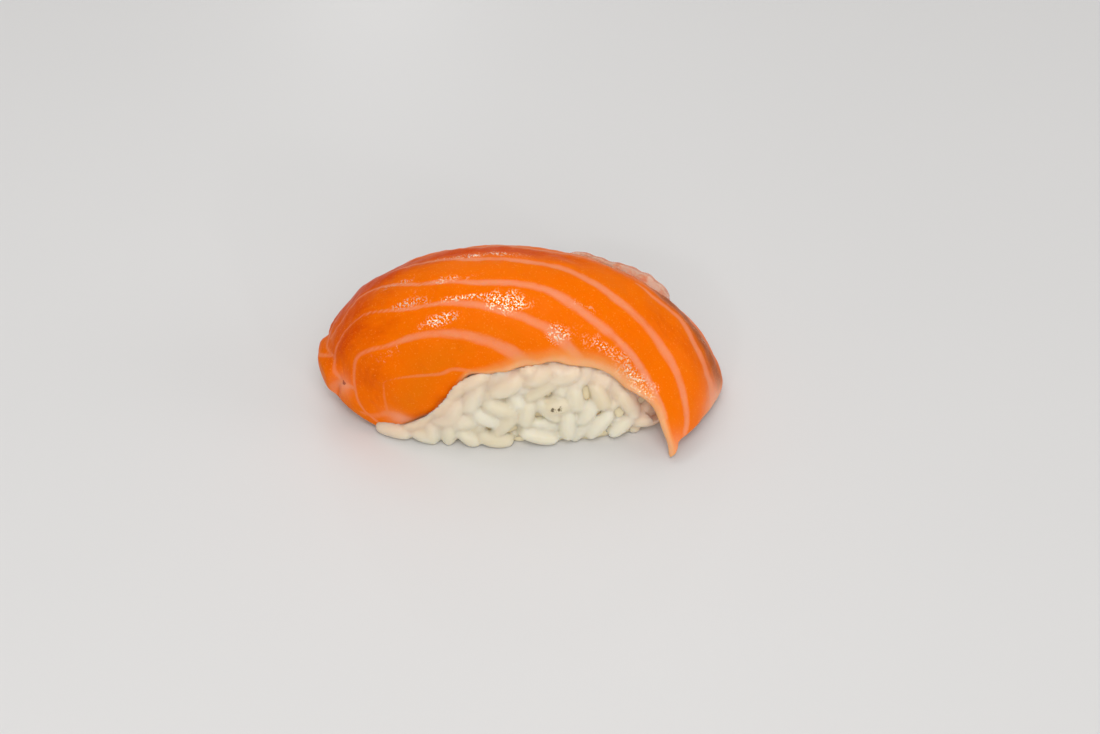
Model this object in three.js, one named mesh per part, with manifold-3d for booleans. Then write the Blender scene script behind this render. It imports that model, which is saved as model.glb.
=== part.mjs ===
// Salmon nigiri: a slice of raw salmon draped over a pressed ball of rice.
// Millimetres, +Z up. X runs along the slice, -Y is the front, and the rice stands flat on z = 0.
// Both solids are star-shaped round one point on the floor. A direction from that point has two angles:
// lon turns from straight up towards +X, and lat tilts from there towards +Y.
import * as THREE from 'three';
import { mergeVertices } from 'three/addons/utils/BufferGeometryUtils.js';
import Module from 'manifold-3d';

const wasm = await Module();
wasm.setup();

// ---- the overall form ----
const CENTRE = new THREE.Vector3(-2.5, 1.75, 0); // the point that both solids are drawn round
// A form has half sizes, and two squareness powers (2 is an ellipse, more is boxier): pairPower shapes the
// outline in the plane of its two pair axes, on each side of the middle, and restPower joins the third axis.
// The draped slice's upper face:
const DRAPE = {
  left: 31.6, right: 35.9, front: 15.0, back: 15.8, height: 26.6,
  pair: ['x', 'z'], rest: 'y', pairPower: { left: 2.2, right: 1.85 }, restPower: 2.2,
};
// The rice ball, if the slice did not press it down:
const BALL = {
  left: 27.0, right: 28.6, front: 14.9, back: 13.9, height: 26.0,
  pair: ['x', 'y'], rest: 'z', pairPower: { left: 2.8, right: 2.6 }, restPower: 2.2,
};
const BOW = 1.2; // how far the right end swings forward, growing with the square of its distance
const TIP_FLARE = new THREE.Vector3(2.6, -6.4, 0.8); // how far the front right corner hangs clear of the rice
const FLARE_LON = [58, 92]; // where that flare grows along the slice
const FLARE_LAT = [-4, -26]; // and across it

// ---- the slice's outline: u runs from the left end to the right, v from the front hem to the back ----
const FRONT_HEM = [[0, -30.5], [0.05, -37.5], [0.13, -44], [0.22, -45.5], [0.3, -42.5], [0.37, -40.5], [0.45, -41],
  [0.55, -38.5], [0.66, -33], [0.78, -28.5], [0.9, -25.5], [1, -25]]; // lat by u
const BACK_HEM = [[0, 30], [0.2, 38], [0.5, 39], [0.75, 33], [1, 20]]; // lat by u
const LEFT_HEM = [[0, -88], [0.3, -82], [0.6, -77], [1, -68]]; // lon by v
const RIGHT_HEM = [[0, 90], [0.022, 88], [0.045, 85.4], [0.1, 85], [0.24, 86.2], [0.53, 88.5], [0.75, 84],
  [1, 72]]; // lon by v, with the pointed tip at its start

// ---- the slice's thickness ----
const BODY_THICKNESS = [[0, 4.4], [0.12, 5], [0.6, 5], [0.85, 3], [1, 1.7]]; // by u
const FRONT_THICKNESS = [[0, 3.4], [0.25, 3.6], [0.4, 1.5], [0.6, 1.0], [0.8, 1.2], [1, 1.4]]; // by u
const BACK_THICKNESS = 2.2;
const FRONT_TAPER = 0.45; // share of the width over which the front thins
const BACK_TAPER = 0.65; // where the thinning to the back starts
const HEM_ROUND = 0.6; // radius of the rounded hem, as a share of the thickness
// Share of the rounding taken from the upper face, by u; the rest comes off the underside.
const HEM_DROP = [[0, 0.15], [0.12, 0.4], [1, 0.45]];
const SLICE_LENGTH = 70; // rough arc lengths, which turn shares of the outline into millimetres
const SLICE_WIDTH = 31;

// ---- the torn flap that stands up behind the ridge ----
const FLAP_SPAN = [25, 65]; // lon where it starts and ends
// By share of that span: lat of its root at the back, and lat that its free edge stands over.
const FLAP_ROOT_LAT = [[0, 25], [0.3, 31], [0.7, 28], [1, 19]];
const FLAP_EDGE_LAT = [[0, 22], [0.3, 20], [0.6, 17.5], [0.85, 15.5], [1, 14]];
const FLAP_THICKNESS = 0.7;
// How far its free edge stands over the slice, by share of its span, and how deep its root lies in the slice.
const FLAP_HEIGHT = [[0, 0], [0.08, 0.6], [0.18, 1.05], [0.375, 1], [0.5, 1.25], [0.675, 1.8], [0.8, 1.9],
  [0.9, 1.5], [0.975, 1], [1, 0.3]];
const FLAP_SINK = 0.6;
const FLAP_FACING = new THREE.Vector3(0.1, 0.8, -0.6); // the way that its back face looks

// ---- the rice ----
const PRESS_GAP = 0.42; // between the slice's underside and the rice, before facets narrow it
const GRAIN_LENGTH = 7.2;
const GRAIN_RADIUS = 1.45;
const GRAIN_SINK = 1.0; // how deep a grain's axis lies under its crest's circle
const CREVICE = 0.65; // depth between grains
const GRAIN_COUNT = 190; // on the whole half shell, most of it pressed smooth under the slice
const GRAIN_SPREAD = new THREE.Vector3(1.6, 1, 0.9); // stretches the even spacing to the long ball
const PRESS_MARGIN = [0.6, 4.5]; // how far past a hem the rice stays pressed down, and where it is free
// Grains that lie clear of the heap: centre, and heading in degrees from +X.
const STRAY_GRAINS = [
  { at: new THREE.Vector3(-20.9, -12.2, GRAIN_RADIUS), heading: 4 },
  { at: new THREE.Vector3(20.6, -9.0, 2.4), heading: -8 },
];

// ---- mesh steps ----
const CROWDING = 0.6; // how much finer a skin's steps are at its edges than in its middle
const SLICE_STEPS = [54, 18];
const RICE_STEPS = [108, 24];
const FLAP_STEPS = [16, 4];

const salmonMaterial = new THREE.MeshStandardMaterial({ color: 0xf07214, roughness: 0.3, metalness: 0 });
const riceMaterial = new THREE.MeshStandardMaterial({ color: 0xdad2bd, roughness: 0.45, metalness: 0 });

const radians = THREE.MathUtils.degToRad;
const degrees = THREE.MathUtils.radToDeg;
const { clamp, lerp, smoothstep } = THREE.MathUtils;

// A smooth curve through a few [x, y] points: cubic pieces, sloped at each point like its neighbours' chord.
function through(points, x) {
  const last = points.length - 1;
  const slope = (i) => {
    const before = points[Math.max(i - 1, 0)];
    const after = points[Math.min(i + 1, last)];
    return (after[1] - before[1]) / (after[0] - before[0]);
  };
  const inside = clamp(x, points[0][0], points[last][0]);
  const next = clamp(points.findIndex(([at]) => at >= inside), 1, last);
  const [x0, y0] = points[next - 1];
  const [x1, y1] = points[next];
  const step = x1 - x0;
  const t = (inside - x0) / step;
  const rise = y0 + (y1 - y0) * t * t * (3 - 2 * t);
  return rise + step * t * (1 - t) * (slope(next - 1) * (1 - t) - slope(next) * t);
}

// Rises from 0 at the first bound to 1 at the second, whichever of them is larger.
function ramp(x, [start, end]) {
  const t = clamp((x - start) / (end - start), 0, 1);
  return t * t * (3 - 2 * t);
}

function directionOf(lon, lat) {
  const upright = Math.cos(radians(lat));
  return new THREE.Vector3(
    Math.sin(radians(lon)) * upright,
    Math.sin(radians(lat)),
    Math.cos(radians(lon)) * upright,
  );
}

// The half sizes of a form on the side that a direction points to, and its outline's power there.
function sideOf(form, dir) {
  const half = {
    x: dir.x > 0 ? form.right : form.left,
    y: dir.y < 0 ? form.front : form.back,
    z: form.height,
  };
  return { half, power: dir.x > 0 ? form.pairPower.right : form.pairPower.left };
}

// Distance from the centre to the form along a direction: the form is a superellipsoid.
function reach(form, dir) {
  const { half, power } = sideOf(form, dir);
  const pairSum = form.pair.reduce((sum, axis) => sum + Math.abs(dir[axis] / half[axis]) ** power, 0);
  const restTerm = Math.abs(dir[form.rest] / half[form.rest]) ** form.restPower;
  return (pairSum ** (form.restPower / power) + restTerm) ** (-1 / form.restPower);
}

// The form's outward normal where a direction meets it: the gradient of the same superellipsoid.
function normalOf(form, dir) {
  const { half, power } = sideOf(form, dir);
  const point = dir.clone().multiplyScalar(reach(form, dir));
  const share = (axis) => Math.abs(point[axis] / half[axis]);
  const pairSum = Math.max(form.pair.reduce((sum, axis) => sum + share(axis) ** power, 0), 1e-9);
  const normal = new THREE.Vector3();
  for (const axis of form.pair) {
    normal[axis] = pairSum ** (form.restPower / power - 1) * share(axis) ** (power - 1) / half[axis];
  }
  normal[form.rest] = share(form.rest) ** (form.restPower - 1) / half[form.rest];
  normal.set(normal.x * Math.sign(point.x), normal.y * Math.sign(point.y), normal.z * Math.sign(point.z));
  return normal.normalize();
}

// The point at a distance along a direction, with the bow of the right end.
function place(dir, distance) {
  const point = dir.clone().multiplyScalar(distance);
  const share = Math.max(point.x / DRAPE.right, 0);
  point.y -= BOW * share * share;
  return point.add(CENTRE);
}

// ---- the slice ----
function sliceAngles(u, v) {
  const lon = lerp(through(LEFT_HEM, v), through(RIGHT_HEM, v), u);
  const lat = lerp(through(FRONT_HEM, u), through(BACK_HEM, u), v);
  return { lon, lat };
}

// The u and v of a direction, which run past 0 and 1 outside the slice.
function sliceShares(lon, lat) {
  let u = 0.5;
  let v = 0.5;
  for (let round = 0; round < 12; round += 1) {
    const left = through(LEFT_HEM, v);
    u = (lon - left) / (through(RIGHT_HEM, v) - left);
    const front = through(FRONT_HEM, u);
    v = (lat - front) / (through(BACK_HEM, u) - front);
  }
  return { u, v };
}

function sliceThickness(u, v) {
  const body = through(BODY_THICKNESS, u);
  const front = Math.min(through(FRONT_THICKNESS, u), body);
  const back = Math.min(BACK_THICKNESS, body);
  const toFront = lerp(front, body, ramp(v, [0, FRONT_TAPER]));
  return lerp(toFront, back, ramp(v, [BACK_TAPER, 1]));
}

// 0 at a hem and 1 further in than the rounding: the height of a quarter circle.
function hemFullness(u, v, thickness) {
  const radius = HEM_ROUND * thickness;
  const quarter = (distance) => Math.sqrt(1 - (1 - clamp(distance / radius, 0, 1)) ** 2);
  return quarter(Math.min(u, 1 - u) * SLICE_LENGTH) * quarter(Math.min(v, 1 - v) * SLICE_WIDTH);
}

// A point of the slice: side 0 is the upper face and side 1 the underside, which meet at the hems.
function slicePoint(u, v, side) {
  const { lon, lat } = sliceAngles(u, v);
  const dir = directionOf(lon, lat);
  const slant = dir.dot(normalOf(DRAPE, dir));
  const thickness = sliceThickness(u, v);
  const lost = 1 - hemFullness(u, v, thickness);
  const depth = through(HEM_DROP, u) * lost + (side === 0 ? 0 : 1 - lost);
  const flare = ramp(lon, FLARE_LON) * ramp(lat, FLARE_LAT);
  return place(dir, reach(DRAPE, dir) - depth * thickness / slant).addScaledVector(TIP_FLARE, flare);
}

// Even steps from 0 to 1 that crowd towards both ends.
function crowded(step, steps) {
  const t = step / steps;
  return t - CROWDING * Math.sin(2 * Math.PI * t) / (2 * Math.PI);
}

// A closed skin of two faces over one grid, which share their edge points.
function closedSkin([across, up], pointAt) {
  const positions = [];
  const index = [];
  for (let side = 0; side < 2; side += 1) {
    const start = positions.length / 3;
    for (let j = 0; j <= up; j += 1) {
      for (let i = 0; i <= across; i += 1) {
        positions.push(...pointAt(crowded(i, across), crowded(j, up), side).toArray());
      }
    }
    for (let j = 0; j < up; j += 1) {
      for (let i = 0; i < across; i += 1) {
        const a = start + j * (across + 1) + i;
        const b = a + across + 1;
        if (side === 0) index.push(a, a + 1, b, b, a + 1, b + 1);
        else index.push(a, b, a + 1, b, b + 1, a + 1);
      }
    }
  }
  return closedGeometry(positions, index);
}

function closedGeometry(positions, index) {
  const geometry = new THREE.BufferGeometry();
  geometry.setAttribute('position', new THREE.Float32BufferAttribute(positions, 3));
  geometry.setIndex(index);
  return mergeVertices(geometry, 1e-4);
}

// ---- the flap ----
// A thin strip: its root lies behind the ridge, and it curls up until its free edge shows over the ridge.
function flapPoint(share, up, side) {
  const lon = lerp(...FLAP_SPAN, share);
  const root = directionOf(lon, through(FLAP_ROOT_LAT, share));
  const ridge = directionOf(lon, through(FLAP_EDGE_LAT, share));
  const foot = place(root, reach(DRAPE, root) - FLAP_SINK);
  const edge = place(ridge, reach(DRAPE, ridge) + through(FLAP_HEIGHT, share));
  const fullness = Math.sqrt(16 * share * (1 - share) * up * (1 - up));
  const half = (side === 0 ? -0.5 : 0.5) * FLAP_THICKNESS * fullness;
  return foot.lerp(edge, up).addScaledVector(FLAP_FACING, half);
}

// ---- the rice ----
// A repeatable stream of numbers between 0 and 1.
function seededStream(seed) {
  let state = seed;
  return () => {
    state = (state * 1664525 + 1013904223) % 4294967296;
    return state / 4294967296;
  };
}

// Grains laid over the ball's half shell at even spacing along a spiral, each with its own heading.
function shellGrains() {
  const random = seededStream(7);
  const goldenTurn = Math.PI * (3 - Math.sqrt(5));
  return Array.from({ length: GRAIN_COUNT }, (_, k) => {
    const rise = (k + 0.5) / GRAIN_COUNT;
    const level = Math.sqrt(1 - rise * rise);
    const turn = k * goldenTurn;
    const dir = new THREE.Vector3(level * Math.cos(turn), level * Math.sin(turn), rise);
    dir.multiply(GRAIN_SPREAD).normalize();
    const normal = normalOf(BALL, dir);
    const east = new THREE.Vector3(0, 0, 1).cross(normal).normalize();
    const north = normal.clone().cross(east);
    const heading = random() * Math.PI;
    const axis = east.multiplyScalar(Math.cos(heading)).addScaledVector(north, Math.sin(heading));
    const middle = dir.multiplyScalar(reach(BALL, dir));
    const half = axis.multiplyScalar(GRAIN_LENGTH / 2 - GRAIN_RADIUS);
    return new THREE.Line3(middle.clone().sub(half), middle.clone().add(half));
  });
}

// Height of the grains over the ball's smooth form: round crests, and crevices between them.
function grainRelief(point, grains) {
  const nearest = new THREE.Vector3();
  let height = -CREVICE;
  for (const grain of grains) {
    grain.closestPointToPoint(point, true, nearest);
    const off = nearest.distanceToSquared(point);
    if (off < GRAIN_RADIUS ** 2) height = Math.max(height, Math.sqrt(GRAIN_RADIUS ** 2 - off) - GRAIN_SINK);
  }
  return height;
}

// How far the slice lets the rice rise along a direction, and how firmly it holds there.
function pressOf(dir) {
  const lat = degrees(Math.asin(dir.y));
  const lon = degrees(Math.atan2(dir.x, dir.z));
  const { u, v } = sliceShares(lon, lat);
  const past = Math.hypot(
    Math.max(-u, u - 1, 0) * SLICE_LENGTH,
    Math.max(-v, v - 1, 0) * SLICE_WIDTH,
  );
  const thickness = sliceThickness(clamp(u, 0, 1), clamp(v, 0, 1));
  const slant = dir.dot(normalOf(DRAPE, dir));
  return { limit: reach(DRAPE, dir) - (thickness + PRESS_GAP) / slant, firm: 1 - ramp(past, PRESS_MARGIN) };
}

function riceDistance(dir, grains) {
  const ball = reach(BALL, dir);
  const rough = ball + grainRelief(dir.clone().multiplyScalar(ball), grains);
  const { limit, firm } = pressOf(dir);
  return lerp(rough, Math.min(rough, limit), firm);
}

// The heap's skin is a net of rounds and rows from the floor up, closed by a crown point and a flat base.
function heapGeometry([around, rows]) {
  const grains = shellGrains();
  const positions = [];
  const index = [];
  for (let j = 0; j < rows; j += 1) {
    const elevation = (Math.PI / 2) * (j / rows);
    for (let i = 0; i < around; i += 1) {
      const turn = (2 * Math.PI * i) / around;
      const dir = new THREE.Vector3().setFromSphericalCoords(1, Math.PI / 2 - elevation, turn + Math.PI / 2);
      dir.set(dir.x, -dir.z, dir.y);
      positions.push(...place(dir, riceDistance(dir, grains)).toArray());
    }
  }
  const up = new THREE.Vector3(0, 0, 1);
  const crown = positions.length / 3;
  positions.push(...place(up, riceDistance(up, grains)).toArray());
  const base = crown + 1;
  positions.push(...CENTRE.toArray());
  for (let i = 0; i < around; i += 1) {
    const next = (i + 1) % around;
    for (let j = 0; j < rows - 1; j += 1) {
      const low = j * around;
      const high = low + around;
      index.push(low + i, low + next, high + i, high + i, low + next, high + next);
    }
    const top = (rows - 1) * around;
    index.push(top + i, top + next, crown);
    index.push(next, i, base);
  }
  return closedGeometry(positions, index);
}

function strayGrainGeometry({ at, heading }) {
  const geometry = new THREE.CapsuleGeometry(GRAIN_RADIUS, GRAIN_LENGTH - 2 * GRAIN_RADIUS, 4, 12);
  geometry.rotateZ(Math.PI / 2 + radians(heading));
  geometry.translate(at.x, at.y, at.z);
  return geometry;
}

// ---- joining solids ----
function toSolid(geometry) {
  const bare = geometry.clone();
  bare.deleteAttribute('normal');
  bare.deleteAttribute('uv');
  const welded = mergeVertices(bare, 1e-4);
  const corners = [];
  for (let k = 0; k < welded.index.count; k += 3) {
    const [a, b, c] = welded.index.array.slice(k, k + 3);
    if (a !== b && b !== c && c !== a) corners.push(a, b, c);
  }
  return new wasm.Manifold(new wasm.Mesh({
    numProp: 3,
    vertProperties: Float32Array.from(welded.attributes.position.array),
    triVerts: Uint32Array.from(corners),
  }));
}

function fromSolid(solid) {
  const { vertProperties, triVerts } = solid.getMesh();
  const geometry = closedGeometry(Array.from(vertProperties), Array.from(triVerts));
  geometry.computeVertexNormals();
  return geometry;
}

function joined(geometries) {
  return fromSolid(geometries.map(toSolid).reduce((whole, piece) => whole.add(piece)));
}

function namedMesh(name, geometry, material) {
  const mesh = new THREE.Mesh(geometry, material);
  mesh.name = name;
  return mesh;
}

const slice = closedSkin(SLICE_STEPS, slicePoint);
const flap = closedSkin(FLAP_STEPS, flapPoint);
const heap = heapGeometry(RICE_STEPS);

const nigiri = new THREE.Group();
nigiri.add(namedMesh('salmon', joined([slice, flap]), salmonMaterial));
nigiri.add(namedMesh('rice', joined([heap, ...STRAY_GRAINS.map(strayGrainGeometry)]), riceMaterial));

export default nigiri;
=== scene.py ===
import bpy
import numpy as np
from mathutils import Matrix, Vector


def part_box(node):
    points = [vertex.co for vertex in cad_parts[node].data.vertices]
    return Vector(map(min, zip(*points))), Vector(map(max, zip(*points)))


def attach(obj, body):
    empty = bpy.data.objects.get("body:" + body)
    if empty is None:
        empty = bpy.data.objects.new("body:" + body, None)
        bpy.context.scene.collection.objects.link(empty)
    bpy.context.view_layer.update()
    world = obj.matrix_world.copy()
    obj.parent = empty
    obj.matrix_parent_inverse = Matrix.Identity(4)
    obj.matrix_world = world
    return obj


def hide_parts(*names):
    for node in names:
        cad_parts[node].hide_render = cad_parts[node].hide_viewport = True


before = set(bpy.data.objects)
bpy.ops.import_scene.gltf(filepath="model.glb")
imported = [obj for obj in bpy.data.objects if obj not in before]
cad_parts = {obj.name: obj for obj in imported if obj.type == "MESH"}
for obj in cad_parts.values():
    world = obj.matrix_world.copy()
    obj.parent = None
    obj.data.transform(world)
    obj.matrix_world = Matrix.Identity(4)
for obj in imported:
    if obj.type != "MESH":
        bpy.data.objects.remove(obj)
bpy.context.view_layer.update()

MM = 0.001
RNG_SEED = 11

# ---- the overall form: the same directions and superellipsoids as the solids ----
SALMON_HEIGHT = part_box("salmon")[1][2] / MM
CENTRE = np.array([-2.5, 1.75, 0.0])  # the point on the floor that both forms are drawn round
DRAPE = dict(left=31.6, right=35.9, front=15.0, back=15.8, height=SALMON_HEIGHT,
             pair=(0, 2), rest=1, pair_power=(2.2, 1.85), rest_power=2.2)
BALL = dict(left=27.0, right=28.6, front=14.9, back=13.9, height=SALMON_HEIGHT - 0.6,
            pair=(0, 1), rest=2, pair_power=(2.8, 2.6), rest_power=2.2)
BOW = 1.2  # mm that the right end swings forward, growing with the square of its distance
TIP_FLARE = np.array([2.6, -6.4, 0.8])  # mm that the front right corner hangs clear of the rice
FLARE_LON = (58, 92)  # where that flare grows along the slice
FLARE_LAT = (-4, -26)  # and across it

# ---- the slice's outline and thickness: degrees or mm by share of the length or width ----
FRONT_HEM = [(0, -30.5), (0.05, -37.5), (0.13, -44), (0.22, -45.5), (0.3, -42.5), (0.37, -40.5), (0.45, -41),
             (0.55, -38.5), (0.66, -33), (0.78, -28.5), (0.9, -25.5), (1, -25)]
BACK_HEM = [(0, 30), (0.2, 38), (0.5, 39), (0.75, 33), (1, 20)]
LEFT_HEM = [(0, -88), (0.3, -82), (0.6, -77), (1, -68)]
RIGHT_HEM = [(0, 90), (0.022, 88), (0.045, 85.4), (0.1, 85), (0.24, 86.2), (0.53, 88.5), (0.75, 84),
             (1, 72)]
BODY_THICKNESS = [(0, 4.4), (0.12, 5), (0.6, 5), (0.85, 3), (1, 1.7)]
FRONT_THICKNESS = [(0, 3.2), (0.25, 3.2), (0.4, 1.1), (0.6, 0.6), (0.8, 0.7), (1, 0.9)]
BACK_THICKNESS = 2.2
FRONT_TAPER = 0.45  # share of the width over which the front thins
BACK_TAPER = 0.65  # where the thinning to the back starts
HEM_ROUND = 0.6  # radius of the rounded hem, as a share of the thickness
HEM_DROP = [(0, 0.15), (0.12, 0.4), (1, 0.45)]
SLICE_LENGTH = 70  # rough arc lengths, which turn shares of the outline into mm
SLICE_WIDTH = 31
# how wide the pale hem is, in mm
FEATHER = [(0, 0.8), (0.3, 0.9), (0.4, 1.6), (0.52, 3.4), (0.7, 4), (0.86, 3.6), (0.95, 1.4), (1, 1)]
HEM_WANDER = 0.7  # degrees that the front hem strays
CREASE_ROUNDING = 0.7  # rounds off the crease along a fat line's middle
SWELLS = [(0.16, 9, 5, 9), (0.05, 3.2, 6, 9), (0.02, 1.3, 7, 16)]  # mm high, mm across, seed, waves

# ---- fat lines: (lon, lat, half width in mm) points along each, then how white it is ----
FAT_LINES = [
    ([(-54, 19, 0.16), (-46, 12, 0.21), (-39, 7.5, 0.25), (-32, 6.8, 0.29), (-22, 5, 0.32), (-10, 3.2, 0.35),
      (3, 2.2, 0.4), (14, 1.8, 0.45), (21, 0.4, 0.5), (29, -2.3, 0.55), (38, -5.7, 0.54), (47, -8.7, 0.54),
      (56, -11.5, 0.54), (65, -14, 0.54), (73, -16.2, 0.5), (80, -18.6, 0.46), (86, -22, 0.33)], 0.85),
    ([(-68, -2.4, 0.25), (-62, -1.4, 0.21), (-56, 0.7, 0.21), (-50, 2.1, 0.21), (-44, 1.2, 0.25),
      (-37, -1.6, 0.29), (-30, -4.5, 0.3), (-22, -6.1, 0.32), (-12, -7.7, 0.39), (2, -8.8, 0.45),
      (13, -9.8, 0.5), (23, -12.7, 0.6), (33, -15.8, 0.63), (44, -18.1, 0.55), (54, -20, 0.5),
      (64, -21.8, 0.46), (76, -23.6, 0.33)], 1.0),
    ([(-74, -14.5, 0.29), (-69, -9.4, 0.25), (-63.5, -7.3, 0.21), (-57, -6, 0.18), (-50, -6.9, 0.21),
      (-43, -9.6, 0.25), (-36, -12.1, 0.29), (-28, -13.2, 0.3), (-18, -14.4, 0.38), (-9, -16.5, 0.45),
      (1, -19, 0.51), (13, -21.8, 0.61), (24, -25.2, 0.7), (33, -28.4, 0.72), (42, -31, 0.6)], 0.85),
    ([(-84, -29, 0.25), (-79, -23, 0.21), (-72, -19.4, 0.21), (-66, -16.9, 0.23), (-61, -15.6, 0.25),
      (-55, -17, 0.29), (-48, -19.3, 0.33), (-39, -20.6, 0.41), (-29, -22.4, 0.52), (-18, -25.5, 0.61),
      (-7, -29.2, 0.7), (3, -33, 0.8), (11, -36.5, 0.91)], 0.8),
    ([(-77, -31.5, 0.25), (-70, -29.2, 0.21), (-65, -27.4, 0.18), (-61, -26.2, 0.16), (-56, -28, 0.16),
      (-49, -31.2, 0.18), (-42, -34, 0.21), (-36, -35.6, 0.23), (-29, -36, 0.26), (-21, -38.5, 0.28)], 0.45),
    ([(46, 5, 0.2), (53, 2, 0.35), (58, 1.2, 0.4), (62, 0, 0.45), (65, -1.8, 0.5), (68, -3.8, 0.5),
      (71.5, -5.2, 0.55), (75, -6.5, 0.6), (78.5, -7.5, 0.7), (81.5, -8, 0.9), (86, -9.5, 1.2),
      (91, -10, 1.4)], 0.8),
    ([(-50, 27, 0.2), (-34, 20, 0.3), (-14, 16, 0.35), (8, 14.5, 0.4), (26, 13.5, 0.4), (44, 13, 0.45),
      (60, 11, 0.5), (76, 7, 0.5), (88, 3, 0.5)], 0.8),
    ([(-18, 32, 0.25), (2, 26.5, 0.35), (22, 24.5, 0.4), (40, 23.5, 0.4), (56, 22, 0.4),
      (70, 18, 0.4)], 0.7),
    ([(-84, 2, 0.29), (-78, 0.5, 0.29), (-73, -5, 0.25), (-69, -9, 0.21)], 0.8),
    ([(-67, 1.6, 0.25), (-70, -2.5, 0.25), (-70, -6, 0.21), (-69, -9, 0.16)], 0.7),
    ([(-84, -12.5, 0.41), (-78, -13.2, 0.49), (-74.5, -16, 0.49), (-73, -19.2, 0.25)], 0.85),
    ([(-82, -23, 0.21), (-81, -27.4, 0.41), (-77, -30.8, 0.49), (-75, -34, 0.49), (-74.5, -38, 0.41)], 0.6),
]


def ramp(x, start, end):
    """Rises smoothly from 0 at start to 1 at end, whichever of them is larger: 3t^2 - 2t^3."""
    t = np.clip((np.asarray(x, float) - start) / (end - start), 0, 1)
    return t * t * (3 - 2 * t)


def through(points, x):
    """A smooth curve through a few (x, y) points: cubic pieces, sloped like the chord of the neighbours."""
    xs, ys = np.array(points, float).T
    slope = np.gradient(ys, xs) if len(xs) < 3 else np.concatenate((
        [(ys[1] - ys[0]) / (xs[1] - xs[0])], (ys[2:] - ys[:-2]) / (xs[2:] - xs[:-2]),
        [(ys[-1] - ys[-2]) / (xs[-1] - xs[-2])]))
    inside = np.clip(np.asarray(x, float), xs[0], xs[-1])
    k = np.clip(np.searchsorted(xs, inside) - 1, 0, len(xs) - 2)
    step = xs[k + 1] - xs[k]
    t = (inside - xs[k]) / step
    rise = ys[k] + (ys[k + 1] - ys[k]) * t * t * (3 - 2 * t)
    return rise + step * t * (1 - t) * (slope[k] * (1 - t) - slope[k + 1] * t)


def direction_of(lon, lat):
    """Unit vectors: lon turns from straight up towards +X, and lat tilts from there towards +Y."""
    lon, lat = np.radians(lon), np.radians(lat)
    return np.stack((np.sin(lon) * np.cos(lat), np.sin(lat) + 0 * lon, np.cos(lon) * np.cos(lat)), -1)


def angles_of(dirs):
    """Lon and lat of unit vectors."""
    lat = np.degrees(np.arcsin(np.clip(dirs[..., 1], -1, 1)))
    return np.degrees(np.arctan2(dirs[..., 0], dirs[..., 2])), lat


def half_sizes(form, dirs):
    """The form's half sizes on the side that each direction points to, and its outline's power there."""
    right = dirs[..., 0] > 0
    halves = np.stack((np.where(right, form["right"], form["left"]),
                       np.where(dirs[..., 1] < 0, form["front"], form["back"]),
                       np.full(right.shape, form["height"])), -1)
    return halves, np.where(right, form["pair_power"][1], form["pair_power"][0])


def reach(form, dirs):
    """Distance from the centre to the superellipsoid ((a^p + b^p)^(q/p) + c^q = 1) along each direction."""
    halves, power = half_sizes(form, dirs)
    share = np.abs(dirs) / halves
    a, b, c = share[..., form["pair"][0]], share[..., form["pair"][1]], share[..., form["rest"]]
    whole = (a ** power + b ** power) ** (form["rest_power"] / power) + c ** form["rest_power"]
    return whole ** (-1 / form["rest_power"])


def normal_of(form, dirs):
    """Outward unit normals of the superellipsoid: its formula's gradient where each direction meets it."""
    halves, power = half_sizes(form, dirs)
    share = np.abs(dirs * reach(form, dirs)[..., None]) / halves
    i, j = form["pair"]
    rest = form["rest_power"]
    outer = np.maximum(share[..., i] ** power + share[..., j] ** power, 1e-9) ** (rest / power - 1)
    normal = np.empty_like(share)
    for axis in (i, j):
        normal[..., axis] = outer * share[..., axis] ** (power - 1) / halves[..., axis]
    normal[..., form["rest"]] = share[..., form["rest"]] ** (rest - 1) / halves[..., form["rest"]]
    normal *= np.sign(dirs)
    return normal / np.linalg.norm(normal, axis=-1, keepdims=True)


def place(dirs, distance):
    """Points at a distance along each direction, with the bow of the right end."""
    points = dirs * np.asarray(distance)[..., None]
    points[..., 1] -= BOW * np.maximum(points[..., 0] / DRAPE["right"], 0) ** 2
    return points + CENTRE


def on_drape(lon, lat, lift=0.0):
    """Points on the slice's upper form, flared at the front right corner, and lifted along the normal."""
    dirs = direction_of(lon, lat)
    flare = ramp(lon, *FLARE_LON) * ramp(lat, *FLARE_LAT)
    lifted = normal_of(DRAPE, dirs) * np.asarray(lift)[..., None]
    return place(dirs, reach(DRAPE, dirs)) + TIP_FLARE * flare[..., None] + lifted


def wander(points, scale, seed, waves=9):
    """A smooth random field, about -1 to 1: the sum of sine waves of random direction, pitch and phase."""
    rng = np.random.default_rng(seed)
    pull = rng.normal(size=(waves, 3))
    pull *= (rng.uniform(0.6, 1.5, waves) * 2 * np.pi / scale / np.linalg.norm(pull, axis=1))[:, None]
    return np.sin(points @ pull.T + rng.uniform(0, 2 * np.pi, waves)).sum(-1) / np.sqrt(waves)


# ---- meshes ----
def add_piece(name, points, faces, material, attributes=None):
    """A smooth-shaded mesh of points in mm, with float attributes on its points."""
    mesh = bpy.data.meshes.new(name)
    mesh.from_pydata((points * MM).tolist(), [], faces if isinstance(faces, list) else faces.tolist())
    for key, values in (attributes or {}).items():
        layer = mesh.attributes.new(key, "FLOAT", "POINT")
        layer.data.foreach_set("value", np.ascontiguousarray(values, np.float32).ravel())
    mesh.polygons.foreach_set("use_smooth", np.ones(len(mesh.polygons), bool))
    mesh.materials.append(material)
    mesh.update()
    piece = bpy.data.objects.new(name, mesh)
    bpy.context.scene.collection.objects.link(piece)
    return piece


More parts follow.
